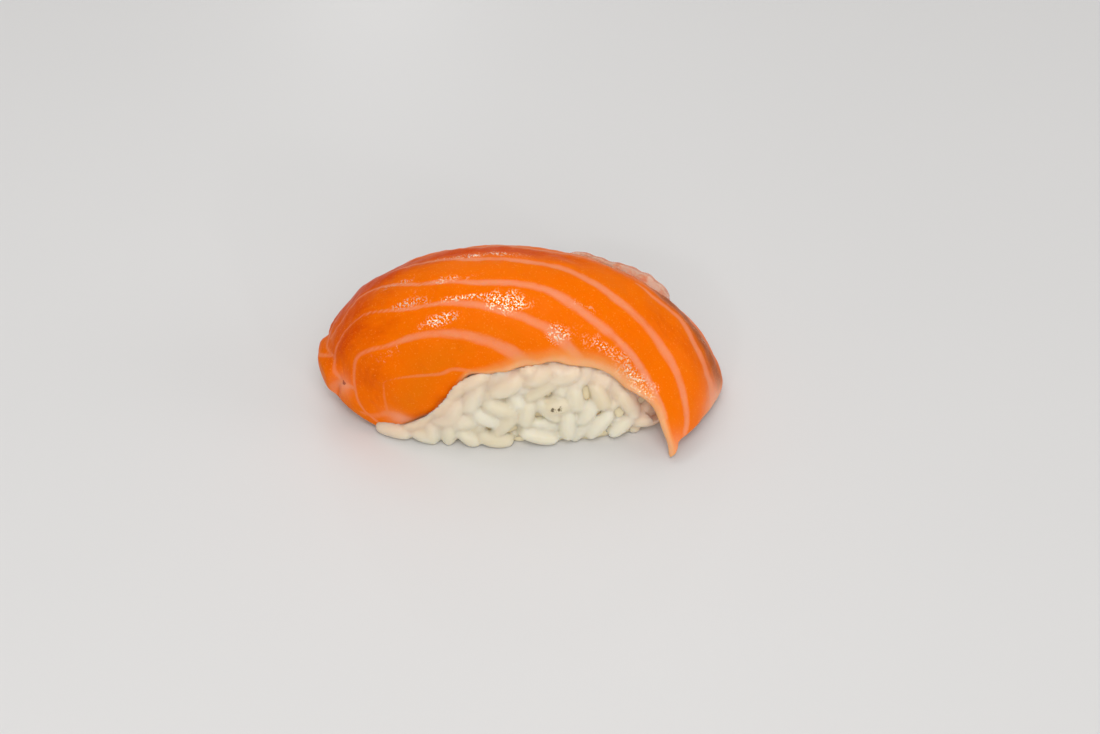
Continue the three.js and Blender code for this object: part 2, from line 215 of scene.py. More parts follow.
def skin_faces(rows, columns):
    """Quads of two grids of one size that share their border: the second's border points are unused."""
    index = np.arange(rows * columns).reshape(rows, columns)
    under = index + rows * columns
    under[0], under[-1], under[:, 0], under[:, -1] = index[0], index[-1], index[:, 0], index[:, -1]
    top = np.stack((index[:-1, :-1], index[:-1, 1:], index[1:, 1:], index[1:, :-1]), -1).reshape(-1, 4)
    low = np.stack((under[:-1, :-1], under[1:, :-1], under[1:, 1:], under[:-1, 1:]), -1).reshape(-1, 4)
    return np.concatenate((top, low))


def doubled(values):
    """The values of a grid's points, given to both faces of a skin."""
    return np.concatenate((values.ravel(), values.ravel()))


def packed(points, faces, attributes):
    """Drops points that no face uses, and renumbers the faces."""
    used = np.zeros(len(points), bool)
    used[faces.ravel()] = True
    number = np.cumsum(used) - 1
    return points[used], number[faces], {key: values[used] for key, values in attributes.items()}


def crowded(steps, crowding=0.6):
    """Steps from 0 to 1 that crowd towards both ends: t - c sin(2 pi t) / (2 pi)."""
    t = np.linspace(0, 1, steps)
    return t - crowding * np.sin(2 * np.pi * t) / (2 * np.pi)


# ---- the salmon slice ----
def slice_angles(u, v):
    """Lon and lat of the outline's shares: lon runs between the end hems, and lat between the long hems."""
    left = through(LEFT_HEM, v)
    lon = left + (through(RIGHT_HEM, v) - left) * u
    front = through(FRONT_HEM, u)
    return lon, front + (through(BACK_HEM, u) - front) * v


def slice_shares(lon, lat):
    """The u and v of a direction, found by turns; they run past 0 and 1 outside the slice."""
    u, v = np.full(np.shape(lon), 0.5), np.full(np.shape(lon), 0.5)
    for _ in range(12):
        left = through(LEFT_HEM, v)
        u = (lon - left) / (through(RIGHT_HEM, v) - left)
        front = through(FRONT_HEM, u)
        v = (lat - front) / (through(BACK_HEM, u) - front)
    return u, v


def slice_thickness(u, v):
    """Thickness in mm: the body's, thinning smoothly to the front hem's and to the back hem's."""
    body = through(BODY_THICKNESS, u)
    front = np.minimum(through(FRONT_THICKNESS, u), body)
    to_front = front + (body - front) * ramp(v, 0, FRONT_TAPER)
    return to_front + (np.minimum(BACK_THICKNESS, body) - to_front) * ramp(v, BACK_TAPER, 1)


def hem_fullness(u, v, thickness):
    """0 at a hem, 1 further in than its rounding: the product of two quarter circles' heights."""
    def quarter(distance):
        return np.sqrt(1 - (1 - np.clip(distance / (HEM_ROUND * thickness), 0, 1)) ** 2)
    return quarter(np.minimum(u, 1 - u) * SLICE_LENGTH) * quarter(np.minimum(v, 1 - v) * SLICE_WIDTH)


def line_share(points, line):
    """Distance from each point to a fat line over its half width there: short straight pieces, tapered."""
    angles = np.array(line[0])
    turns = np.arange(len(angles))
    share = np.linspace(0, len(angles) - 1, 8 * len(angles))
    lon, lat, half = (through(list(zip(turns, column)), share) for column in angles.T)
    path = on_drape(lon, lat)
    best = np.full(len(points), 1e9)
    for start, end, wide, last_wide in zip(path[:-1], path[1:], half[:-1], half[1:]):
        along = end - start
        t = np.clip((points - start) @ along / (along @ along), 0, 1)
        reached = np.linalg.norm(points - start - t[:, None] * along, axis=1)
        best = np.minimum(best, reached / (wide + (last_wide - wide) * t))
    return best


def fat_field(points):
    """How near each point is to fat, in half widths of the nearest line, and that line's whiteness."""
    shares = np.array([line_share(points, line) for line in FAT_LINES])
    whiteness = np.array([line[1] for line in FAT_LINES])[shares.argmin(0)]
    return shares.min(0), whiteness


def band_of(lon, lat):
    """Which muscle flake a direction is in: rises by 1 from each long fat line to the next one back."""
    rungs = [through([point[:2] for point in FAT_LINES[k][0]], lon) for k in (3, 2, 1, 0)]
    rungs = [rungs[0] - 12] + rungs + [rungs[-1] + 14, rungs[-1] + 30]
    band = np.zeros(np.shape(lon))
    for low, high in zip(rungs[:-1], rungs[1:]):
        band += np.clip((lat - low) / np.maximum(high - low, 2.0), 0, 1)
    return band


# Spots on the slice: (lon, lat), their sizes in degrees, and strength.
# The wet spots set a lower roughness and a stronger bump, and also place the painted highlight specks of the
# glints.
WET_GLINT_SPOTS = [((-37, -1), (9, 1.8), 0.6), ((-20, -5.5), (12, 1.8), 0.6), ((-35, -10.5), (8, 2.2), 0.8),
             ((-17, -13), (10, 1.2), 0.8), ((-25, -18.7), (9, 2.2), 1.0), ((1, -15.5), (9, 4.5), 1.0),
             ((22, -24), (5, 4.5), 0.9), ((38, -22), (12, 3.5), 0.5), ((60, -24), (12, 4.0), 0.7),
             ((-50, -21), (10, 4), 0.4), ((29, -13), (9, 3), 0.4), ((-8, 5.5), (26, 2.2), 0.6),
             ((72, 1), (14, 3), 0.4), ((45, -33), (8, 4), 0.5)]
DEEP_SPOTS = [((-66, -21), (12, 8), 0.32), ((-47, -14), (11, 3), 0.25), ((-62, -9), (10, 3), 0.35),
              ((66, -7), (22, 5), 0.35), ((-10, 9), (45, 5), 0.9), ((-50, 8), (16, 8), 0.8),
              ((-64, -4), (14, 14), 0.4), ((-52, -4), (14, 6), 0.3)]
GOLD_SPOTS = [((-58, -36), (16, 6), 0.9), ((-80, -8), (6, 4), 1.0), ((-84, -21), (5, 4), 0.7),
              ((-34, -31), (15, 6), 0.9), ((-5, -26), (14, 4), 0.35), ((74, -24), (12, 5), 0.4)]
BLOOD_SPOT = (-73.8, -16)  # lon and lat of a tiny dark red spot
# Pinker flesh; the faint spot at (-4, 6) is a painted pink sheen of fine glints along the top band.
PINK_AND_SHEEN_SPOTS = [((-75, -16), (4, 2.5), 0.5), ((-77, -37), (4, 5), 0.7), ((88, -8), (6, 5), 1.3),
              ((-4, 6), (22, 2.0), 0.08), ((87, -27), (5, 6), 0.7)]


def patch(lon, lat, at, size):
    """A soft spot on the slice, 1 in its middle: a bell over the two angles."""
    return np.exp(-((lon - at[0]) / size[0]) ** 2 - ((lat - at[1]) / size[1]) ** 2)


def spots(lon, lat, listed):
    """The sum of soft spots, kept from 0 to 1."""
    return np.clip(sum(strength * patch(lon, lat, at, size) for at, size, strength in listed), 0, 1)


def make_slice(material, steps=(330, 144)):
    """The draped slice: two faces over one (u, v) grid that meet at rounded hems.

    The upper face is the drape form, lowered by the hems' rounding, grooved along the fat lines and gently
    uneven between them. The underside lies one thickness further in, along the direction from the centre.
    """
    u, v = np.meshgrid(crowded(steps[0]), crowded(steps[1]), indexing="ij")
    lon, lat = slice_angles(u, v)
    edge = (1 - v) ** 5
    lat = lat + HEM_WANDER * edge * wander(np.stack((lon, 0 * lon, 0 * lon), -1), 22, 3)
    dirs = direction_of(lon, lat)
    normal = normal_of(DRAPE, dirs)
    slant = (dirs * normal).sum(-1)
    thickness = slice_thickness(u, v)
    lost = 1 - hem_fullness(u, v, thickness)
    flare = TIP_FLARE * (ramp(lon, *FLARE_LON) * ramp(lat, *FLARE_LAT))[..., None]
    surface = on_drape(lon, lat)
    near, white = fat_field(surface.reshape(-1, 3))
    near, white = near.reshape(u.shape), white.reshape(u.shape)
    near = np.sqrt(near ** 2 + CREASE_ROUNDING)
    band = band_of(lon, lat)
    outer_seam = through([point[:2] for point in FAT_LINES[5][0]], lon)
    past_seam = lat - outer_seam
    skin = 0.45 * ramp(past_seam, 0.6, 1.8) + 0.55 * ramp(past_seam, 2.2, 4)
    skin = skin * ramp(lon, 48, 58) * ramp(lon, 87, 84)
    skin *= ramp(past_seam, 10, 6)
    skin += 0.45 * ramp(lat, 24, 34)
    white = white * (1 - 0.35 * ramp(lon, -40, -62))

    full = 1 - lost
    groove = 0.16 * np.exp(-(near / 1.3) ** 2) * white
    swell = sum(high * wander(surface, wide, seed, waves) for high, wide, seed, waves in SWELLS)
    lobe = 1.1 * ramp(lon, -69, -75) * ramp(lat, 4, 1) * ramp(lat, -14.5, -11.5)
    notch = 0.7 * patch(lon, lat, (-82, -13.6), (9, 1.3)) + 0.6 * patch(lon, lat, (-71, 3.2), (6, 1.4))
    relief = (swell - groove + lobe - notch) * full
    faces = []
    for side in (0, 1):
        depth = through(HEM_DROP, u) * lost + (0 if side == 0 else 1 - lost)
        face = place(dirs, reach(DRAPE, dirs) - depth * thickness / slant) + flare
        if side == 0:
            face = face + normal * relief[..., None]
        faces.append(face.reshape(-1, 3))
    points = np.concatenate(faces)
    feather = ramp(v * SLICE_WIDTH / through(FEATHER, u), 1, 0)
    fields = {"fat_near": np.minimum(near, 8), "fat_white": white, "band": band, "along": lon / 10,
              "feather": feather, "wet": spots(lon, lat, WET_GLINT_SPOTS), "deep": spots(lon, lat, DEEP_SPOTS),
              "gold": spots(lon, lat, GOLD_SPOTS), "pink": spots(lon, lat, PINK_AND_SHEEN_SPOTS),
              "skin": np.clip(skin, 0, 1)}
    attributes = {key: doubled(values) for key, values in fields.items()}
    points, quads, attributes = packed(points, skin_faces(*u.shape), attributes)
    return add_piece("salmon_slice", points, quads, material, attributes)


# ---- the torn flap behind the ridge ----
FLAP_SPAN = (25, 65)
FLAP_ROOT_LAT = [(0, 25), (0.3, 31), (0.7, 28), (1, 19)]
FLAP_EDGE_LAT = [(0, 22), (0.3, 20), (0.6, 17.5), (0.85, 15.5), (1, 14)]
FLAP_HEIGHT = [(0, 0), (0.08, 0.6), (0.18, 1.05), (0.375, 1), (0.5, 1.25), (0.675, 1.8), (0.8, 1.9),
               (0.9, 1.5), (0.975, 1), (1, 0.3)]
FLAP_SINK = 0.6  # mm that its root lies under the slice's face
FLAP_THICKNESS = 0.7
FLAP_FACING = np.array([0.1, 0.8, -0.6])  # the way that its back face looks
FLAP_RAGGED = 0.12  # share of its height that the free edge strays
FLAP_RIPPLE = 0.18  # mm


def make_flap(material, steps=(90, 28)):
    """A thin torn strip: ruled from a root behind the ridge to a ragged free edge that stands over it."""
    share, up = np.meshgrid(crowded(steps[0]), crowded(steps[1]), indexing="ij")
    lon = FLAP_SPAN[0] + (FLAP_SPAN[1] - FLAP_SPAN[0]) * share
    ragged = 1 + FLAP_RAGGED * wander(np.stack((lon, 0 * lon, 0 * lon), -1), 5, 21)
    foot = on_drape(lon, through(FLAP_ROOT_LAT, share), -FLAP_SINK + 0 * share)
    edge = on_drape(lon, through(FLAP_EDGE_LAT, share), through(FLAP_HEIGHT, share) * ragged)
    middle = foot + (edge - foot) * up[..., None]
    full = np.sqrt(np.maximum(16 * share * (1 - share) * up * (1 - up), 0))
    ripple = FLAP_RIPPLE * wander(middle, 3.5, 22) * np.minimum(full, 1)
    sheets = [middle + FLAP_FACING * (ripple + sign * 0.5 * FLAP_THICKNESS * full)[..., None]
              for sign in (-1, 1)]
    points = np.concatenate([sheet.reshape(-1, 3) for sheet in sheets])
    attributes = {"rim": doubled(up), "share": doubled(share)}
    points, quads, attributes = packed(points, skin_faces(*share.shape), attributes)
    return add_piece("salmon_flap", points, quads, material, attributes)


# ---- the rice ----
GRAIN_LENGTH = 7.2
GRAIN_RADIUS = 1.6
PRESS_GAP = 0.1
PRESS_MARGIN = (0.2, 3.2)


def rice_reach(dirs):
    """How far the rice rises along each direction: the ball's form, held down under the slice."""
    u, v = slice_shares(*angles_of(dirs))
    past = np.hypot(np.maximum(np.maximum(-u, u - 1), 0) * SLICE_LENGTH,
                    np.maximum(np.maximum(-v, v - 1), 0) * SLICE_WIDTH)
    thickness = slice_thickness(np.clip(u, 0, 1), np.clip(v, 0, 1))
    slant = (dirs * normal_of(DRAPE, dirs)).sum(-1)
    limit = reach(DRAPE, dirs) - (thickness + PRESS_GAP) / slant
    ball = reach(BALL, dirs)
    return ball + (np.minimum(ball, limit) - ball) * (1 - ramp(past, *PRESS_MARGIN))


def front_point(x, z):
    """The place on the front of the ball's form at a distance along and a height: the form solved for y."""
    dx = x - CENTRE[0]
    half = np.where(dx > 0, BALL["right"], BALL["left"])
    power = np.where(dx > 0, BALL["pair_power"][1], BALL["pair_power"][0])
    level = (1 - (z / BALL["height"]) ** BALL["rest_power"]) ** (power / BALL["rest_power"])
    depth = np.maximum(level - np.abs(dx / half) ** power, 0) ** (1 / power) * BALL["front"]
    return np.stack((x, CENTRE[1] - depth - BOW * np.maximum(dx / DRAPE["right"], 0) ** 2, z), -1)


# Grains in sight at the front: x along, z up, heading in degrees from +X upwards, and length, in mm.
FRONT_GRAINS = np.array([
    (-20.9, 1.4, 3, 7.2), (-17.2, 3.9, 25, 5.0), (-14.6, 2.2, 93, 5.6), (-11.9, 2.4, 88, 5.4),
    (-12.9, 8.2, 50, 6.0), (-10.2, 11.4, 42, 6.2), (-7.6, 9.6, 66, 6.9), (-9.3, 5.0, 8, 5.0),
    (-8.8, 1.6, -42, 5.4), (-4.2, 1.5, -10, 6.6), (-3.4, 7.6, -17, 6.8), (-2.2, 12.3, 33, 7.4),
    (-2.6, 4.5, 50, 6.2), (0.9, 6.5, 80, 5.8), (2.8, 2.0, -16, 7.4), (3.4, 11.2, 36, 7.2),
    (7.5, 4.3, 89, 7.2), (8.6, 9.4, 96, 5.6), (12.8, 3.5, 51, 7.2), (16.3, 2.6, 40, 6.0),
    (12.5, 9.2, -68, 6.2), (20.5, 2.6, -8, 6.4), (17.3, 7.0, -58, 6.8), (6.8, 13.4, 18, 6.4),
    (-5.9, 5.6, -28, 5.2), (4.3, 7.2, -46, 6.0), (10.4, 6.4, 60, 5.8), (-16.0, 1.4, -30, 5.0),
    (-15.4, 6.0, 50, 5.4), (-7.4, 12.8, 30, 6.0), (2.4, 13.8, 22, 6.2), (-12.4, 5.4, 20, 5.0),
    (-11.2, 7.4, 60, 5.2), (5.6, 8.4, 8, 5.8),
])
SHELL_COUNT = 215  # loose grains all over the heap
SHELL_DEPTH = 1.25  # mm from the heap's surface to the middle of a grain
COVERED = ((0.1, 0.92), (0.2, 0.86))  # shares of the slice where the grains under it can't be seen
BEADS = np.linspace(-1, 1, 5)  # a grain meets its neighbours as a row of round beads
SQUEEZE = 0.8  # soft grains press into each other by the rest
FRONT_LOWEST = 1.3  # mm; no chosen grain at the front lies lower
FRONT_SINK = np.array([0, 0.6, 0])  # mm that those grains are set back into the heap


def seat_shell(rng):
    """Loose grains spaced evenly over the heap by a golden spiral, each with a random heading."""
    count = SHELL_COUNT
    rise = (np.arange(count) + 0.5) / count
    level = np.sqrt(1 - rise ** 2)
    turn = np.arange(count) * np.pi * (3 - np.sqrt(5)) + rng.uniform(0, 6)
    dirs = np.stack((1.6 * level * np.cos(turn), level * np.sin(turn), 0.9 * rise), -1)
    dirs /= np.linalg.norm(dirs, axis=1, keepdims=True)
    centre = place(dirs, rice_reach(dirs) - SHELL_DEPTH)
    normal = normal_of(BALL, dirs)
    side = np.cross(normal, rng.normal(size=(count, 3)))
    side /= np.linalg.norm(side, axis=1, keepdims=True)
    return centre, side, rng.uniform(0.82, 1.04, count) * GRAIN_LENGTH


def seat_front(rng):
    """The chosen grains at the front: laid on the ball's form, with their heading in its tangent plane."""
    x, z, heading, length = FRONT_GRAINS.T
    heading = np.radians(heading)
    centre = front_point(x, np.maximum(z, FRONT_LOWEST))
    tip = front_point(x + np.cos(heading) * 0.5,
                      np.maximum(z, FRONT_LOWEST) + np.sin(heading) * 0.5)
    axis = tip - centre
    axis /= np.linalg.norm(axis, axis=1, keepdims=True)
    return centre + FRONT_SINK, axis, length


HEM_SPAN = (0.1, 0.94)  # shares of the front hem that grains are tucked in under
HEM_COUNT = 22
HEM_DEEPER = 0.2  # mm that they lie deeper than the loose ones
HEM_TURN = 0.9  # how far their headings stray from the hem's


def seat_hem(rng):
    """Grains tucked in under the front hem, roughly in line with it."""
    u = np.linspace(*HEM_SPAN, HEM_COUNT) + rng.uniform(-0.01, 0.01, HEM_COUNT)
    lon, lat = slice_angles(u, 0 * u)
    dirs = direction_of(lon, lat - rng.uniform(0, 2.5, HEM_COUNT))
    centre = place(dirs, rice_reach(dirs) - SHELL_DEPTH - HEM_DEEPER)
    ahead_lon, ahead_lat = slice_angles(u + 0.02, 0 * u)
    ahead = on_drape(ahead_lon, ahead_lat) - on_drape(lon, lat)
    axis = ahead + HEM_TURN * rng.normal(size=(HEM_COUNT, 3))
    axis /= np.linalg.norm(axis, axis=1, keepdims=True)
    return centre, axis, rng.uniform(0.8, 1.0, HEM_COUNT) * GRAIN_LENGTH


def settle(centre, axis, length, radius, held, rounds=70):
    """Pushes grains apart until they only press lightly, keeps them in the heap and off the floor.

    Every round, each pair of beads closer than their radii is pushed apart by half the overlap. A grain
    moves by the mean push on its beads and turns by their moment. Held grains stay where they are.
    """
    half = length / 2 - radius
    count = len(centre)
    owner = np.repeat(np.arange(count), len(BEADS))
    reach_sum = SQUEEZE * (radius[owner][:, None] + radius[owner][None])
    apart = owner[:, None] != owner[None]
    ease = np.where(held, 0.0, 0.5)[:, None]
    for _ in range(rounds):
        beads = centre[:, None] + axis[:, None] * (half[:, None] * BEADS)[..., None]
        flat = beads.reshape(-1, 3)
        squares = (flat ** 2).sum(1)
        distance = np.sqrt(np.maximum(squares[:, None] + squares[None] - 2 * flat @ flat.T, 1e-6))
        over = np.where(apart, np.maximum(reach_sum - distance, 0), 0) / distance
        push = 0.5 * (over.sum(1)[:, None] * flat - over @ flat)
        off = flat - CENTRE
        far = np.linalg.norm(off, axis=1)
        dirs = off / far[:, None]
        wall = rice_reach(dirs) - 0.8 * radius[owner]
        push -= dirs * np.maximum(far - wall, 0)[:, None]
        push[:, 2] += np.maximum(0.95 * radius[owner] - flat[:, 2], 0)
        push = push.reshape(count, len(BEADS), 3)
        middle = centre - CENTRE
        out = middle / np.linalg.norm(middle, axis=1, keepdims=True)
        short = rice_reach(out) - SHELL_DEPTH - np.linalg.norm(middle, axis=1)
        centre = centre + ease * (push.mean(1) * 1.6 + 0.12 * out * short[:, None])
        turn = (push * (BEADS / half[:, None])[..., None]).mean(1)
        axis = axis + ease * turn
        axis /= np.linalg.norm(axis, axis=1, keepdims=True)
    return centre, axis


def covered(points):
    """Which points lie so far in under the slice that nothing there shows."""
    dirs = points - CENTRE
    u, v = slice_shares(*angles_of(dirs / np.linalg.norm(dirs, axis=1, keepdims=True)))
    return (u > COVERED[0][0]) & (u < COVERED[0][1]) & (v > COVERED[1][0]) & (v < COVERED[1][1])


GRAIN_SIDES = 8
GRAIN_RINGS = np.array([-0.86, -0.62, -0.24, 0.2, 0.6, 0.87])


def grain_template():
    """One grain as unit points (along, side, up): rings of r = (1 - |s|^2.5)^(1/2.1), and capped ends."""
    turn = np.arange(GRAIN_SIDES) * 2 * np.pi / GRAIN_SIDES
    wide = (1 - np.abs(GRAIN_RINGS) ** 2.5) ** (1 / 2.1)
    rings = np.stack(np.broadcast_arrays(
        GRAIN_RINGS[:, None], wide[:, None] * np.cos(turn), wide[:, None] * np.sin(turn)), -1).reshape(-1, 3)
    points = np.concatenate((rings, [[-1.0, 0, 0], [1.0, 0, 0]]))
    k = np.arange(GRAIN_SIDES)
    after = (k + 1) % GRAIN_SIDES
    low = np.arange(len(GRAIN_RINGS) - 1)[:, None] * GRAIN_SIDES
    high = low + GRAIN_SIDES
    walls = np.stack((low + k, high + k, high + after, low + after), -1).reshape(-1, 4)
    pairs = np.arange(0, GRAIN_SIDES, 2)
    top = (len(GRAIN_RINGS) - 1) * GRAIN_SIDES
    first, last = len(rings), len(rings) + 1
    tips = [np.stack((first + 0 * pairs, pairs, pairs + 1, (pairs + 2) % GRAIN_SIDES), -1),
            np.stack((last + 0 * pairs, top + (pairs + 2) % GRAIN_SIDES, top + pairs + 1, top + pairs), -1)]
    return points, np.concatenate([walls] + tips)


GROWN = 1.13  # makes up for what subdivision takes off a grain's girth


def make_grains(name, centre, axis, length, radius, material, rng):
    """Many grains as one mesh: the template scaled, bent and turned for each, in whole arrays."""
    template, faces = grain_template()
    count = len(centre)
    up = np.cross(axis, rng.normal(size=(count, 3)))
    up /= np.linalg.norm(up, axis=1, keepdims=True)
    side = np.cross(up, axis)
    s = template[:, 0]
    bend = rng.uniform(-0.35, 0.35, count)[:, None] * (1 - s ** 2)
    lean = 1 + rng.uniform(-0.12, 0.12, count)[:, None] * s
    flat = rng.uniform(0.84, 0.98, count)[:, None]
    along = (length / 2)[:, None] * s
    across = radius[:, None] * GROWN * lean * template[:, 1] + bend
    high = radius[:, None] * GROWN * lean * flat * template[:, 2]
    points = (centre[:, None] + axis[:, None] * along[..., None] + side[:, None] * across[..., None]
              + up[:, None] * high[..., None]).reshape(-1, 3)
    points += 0.07 * np.stack([wander(points, 2.6, seed) for seed in (31, 32, 33)], -1)
    points[:, 2] = np.maximum(points[:, 2], 0.02)
    faces = (faces[None] + (np.arange(count) * len(template))[:, None, None]).reshape(-1, 4)
    return add_piece(name, points, faces, material)


MELD_CELL = 0.33  # mm
MELD_ROUNDS = 4  # how many times the creases are smoothed


def melded(piece, cell, rounds):
    """Sticks a piece's grains together where they press: remeshed in small cells, its creases softened."""
    finer = piece.modifiers.new("finer", "SUBSURF")
    finer.levels = finer.render_levels = 1
    cells = piece.modifiers.new("cells", "REMESH")
    cells.mode = "VOXEL"
    cells.voxel_size = cell * MM
    cells.use_smooth_shade = True
    soften = piece.modifiers.new("soften", "SMOOTH")
    soften.factor = 0.5
    soften.iterations = rounds
    whole = bpy.data.meshes.new_from_object(piece.evaluated_get(bpy.context.evaluated_depsgraph_get()))
    piece.modifiers.clear()
    piece.data = whole


LOOSE_HEIGHT = 2.9  # mm; the grains that lie on the floor lower than this aren't pressed


def press_down(piece):
    """Presses whatever stands out of the heap under the slice back to the slice's underside."""
    flat = np.empty(len(piece.data.vertices) * 3)
    piece.data.vertices.foreach_get("co", flat)
    off = flat.reshape(-1, 3) / MM - CENTRE
    off[:, 1] += BOW * np.maximum(off[:, 0] / DRAPE["right"], 0) ** 2
    far = np.linalg.norm(off, axis=1)
    dirs = off / far[:, None]
    u, v = slice_shares(*angles_of(dirs))
    pressed = (u > 0) & (u < 1) & (v > 0) & (v < 1) & (off[:, 2] > LOOSE_HEIGHT)
    limit = np.where(pressed, rice_reach(dirs), far)
    points = place(dirs, np.minimum(far, limit))
    piece.data.vertices.foreach_set("co", (points * MM).ravel())
    piece.data.update()


FLECKS = np.array([(5.1, 8.6), (6.1, 8.7)])  # x and z in mm of dark specks on the front of the rice


def shade_grains(piece, centre, axis, length, radius, rng):
    """Point attributes of the melded grains: depth in the heap for the painted crevice shade, own tone,
    nearness to the hem for a painted glow from the fish, and nearness to flecks.
    """
    flat = np.empty(len(piece.data.vertices) * 3)
    piece.data.vertices.foreach_get("co", flat)
    points = flat.reshape(-1, 3) / MM
    beads = centre[:, None] + axis[:, None] * ((length / 2 - radius)[:, None] * BEADS)[..., None]
    beads = beads.reshape(-1, 3)
    own = rng.uniform(0, 1, len(centre))
    owner = np.concatenate([
        ((part ** 2).sum(1)[:, None] - 2 * part @ beads.T + (beads ** 2).sum(1)).argmin(1) // len(BEADS)
        for part in np.array_split(points, 40)])
    off = points - CENTRE
    far = np.linalg.norm(off, axis=1)
    dirs = off / far[:, None]
    _, v = slice_shares(*angles_of(dirs))
    values = {"crevice_shade": np.clip((rice_reach(dirs) - far) / 3, 0, 1), "tone": own[owner],
              "painted_fish_glow": np.exp(-(np.maximum(-v, 0) * SLICE_WIDTH / 4) ** 2),
              "fleck": np.linalg.norm(points[:, None, ::2] - FLECKS, axis=2).min(1) + 9 * (points[:, 1] > 0)}
    for key, value in values.items():
        piece.data.attributes.new(key, "FLOAT", "POINT").data.foreach_set("value", value.astype(np.float32))


CORE_DEPTH = 1.25  # mm from the heap's surface
CORE_LIFT = 0.3  # mm that its base clears the floor


def make_core(material, around=160, rows=40):
    """The heap behind the grains: its form drawn further in, lumpy, closed by a crown and a flat base."""
    turn = np.arange(around) * 2 * np.pi / around
    rise = np.arange(rows)[:, None] / rows * np.pi / 2
    level = np.cos(rise)
    dirs = np.stack(np.broadcast_arrays(level * np.cos(turn), level * np.sin(turn), np.sin(rise)), -1)
    dirs = np.concatenate((dirs.reshape(-1, 3), [[0, 0, 1]]))
    points = place(dirs, rice_reach(dirs) - CORE_DEPTH)
    points = points + dirs * (0.3 * wander(points, 3.5, 41))[:, None]
    points[:, 2] = np.maximum(points[:, 2], CORE_LIFT)
    points = np.concatenate((points, [CENTRE + [0, 0, CORE_LIFT]]))
    crown, base = len(points) - 2, len(points) - 1
    k = np.arange(around)
    after = (k + 1) % around
    low = np.arange(rows - 1)[:, None] * around
    high = low + around
    walls = np.stack((low + k, low + after, high + after, high + k), -1).reshape(-1, 4)
    top = (rows - 1) * around
    caps = [(int(top + a), int(top + b), crown) for a, b in zip(k, after)]
    caps += [(int(b), int(a), base) for a, b in zip(k, after)]
    return add_piece("rice_core", points, walls.tolist() + caps, material)


# ---- shader tools ----
class Wire:
    """A shader value that takes arithmetic: an operator adds one Math node."""

    def __init__(self, finish, socket):
        self.finish = finish
        self.socket = socket

    def math(self, operation, first, second=0.5):
        return self.finish.node("Math", {"operation": operation}, {0: first, 1: second})

    def __add__(self, other):
        return self.math("ADD", self, other)

    def __radd__(self, other):
        return self.math("ADD", other, self)

    def __sub__(self, other):
        return self.math("SUBTRACT", self, other)

    def __rsub__(self, other):
        return self.math("SUBTRACT", other, self)

    def __mul__(self, other):
        return self.math("MULTIPLY", self, other)

    def __rmul__(self, other):
        return self.math("MULTIPLY", other, self)

    def __truediv__(self, other):
        return self.math("DIVIDE", self, other)

    def __rtruediv__(self, other):
        return self.math("DIVIDE", other, self)

    def __pow__(self, other):
        return self.math("POWER", self, other)

    def ramp(self, start, end):
        """Rises smoothly from 0 at start to 1 at end, or falls where end is smaller."""
        low, high = min(start, end), max(start, end)
        rising = self.finish.node("MapRange", {"interpolation_type": "SMOOTHSTEP"},
                                  {"Value": self, "From Min": low, "From Max": high})
        return rising if start < end else 1 - rising


class Finish:
    """One material's nodes. node() adds any node from its type, settings and sockets' values or links."""

    def __init__(self, name, **constants):
        self.material = bpy.data.materials.new(name)
        self.material.use_nodes = True
        self.tree = self.material.node_tree
        self.shader = self.tree.nodes["Principled BSDF"]
        for key, value in constants.items():
            self.shader.inputs[key.replace("_", " ").title().replace("Ior", "IOR")].default_value = value

    def feed(self, socket, value):
        if isinstance(value, Wire):
            self.tree.links.new(value.socket, socket)
        else:
            socket.default_value = value

    def node(self, kind, settings=None, sockets=None, output=0):
        made = self.tree.nodes.new("ShaderNode" + kind)
        for key, value in (settings or {}).items():
            setattr(made, key, value)
        for key, value in (sockets or {}).items():
            self.feed(made.inputs[key], value)
        return Wire(self, made.outputs[output])

    def place(self):
        return self.node("TexCoord", output="Object")

    def attribute(self, name):
        return self.node("Attribute", {"attribute_name": name}, output="Fac")

    def noise(self, size, detail=2.0, rough=0.5, vector=None):
        """Smooth noise, 0 to 1, with features about size mm across."""
        return self.node("TexNoise", {}, {"Vector": vector or self.place(), "Scale": 1 / (size * MM),
                                          "Detail": detail, "Roughness": rough})

    def mix(self, factor, first, second):
        """A colour between two others."""
        return self.node("Mix", {"data_type": "RGBA"}, {0: factor, 6: first, 7: second}, output=2)

    def speck(self, at, radius, wobble):
        """1 on a small ragged spot round a place, with its radius, all in mm."""
        gap = self.node("VectorMath", {"operation": "DISTANCE"},
                        {0: self.place(), 1: tuple(float(c) * MM for c in at)}, output=1)
        return (gap * (1 / (radius * MM)) + (wobble - 0.5) * 2.5).ramp(1.0, 0.6)

    def bump(self, height, depth, normal=None):
        """A normal from a height of 0 to 1 that stands for depth mm."""
        sockets = {"Height": height, "Distance": depth * MM, "Strength": 1.0}
        if normal:
            sockets["Normal"] = normal
        return self.node("Bump", {}, sockets)

    def finished(self, **sockets):
        for key, value in sockets.items():
            self.feed(self.shader.inputs[key.replace("_", " ").title()], value)
        return self.material


def rgb(red, green, blue):
    return (red, green, blue, 1.0)


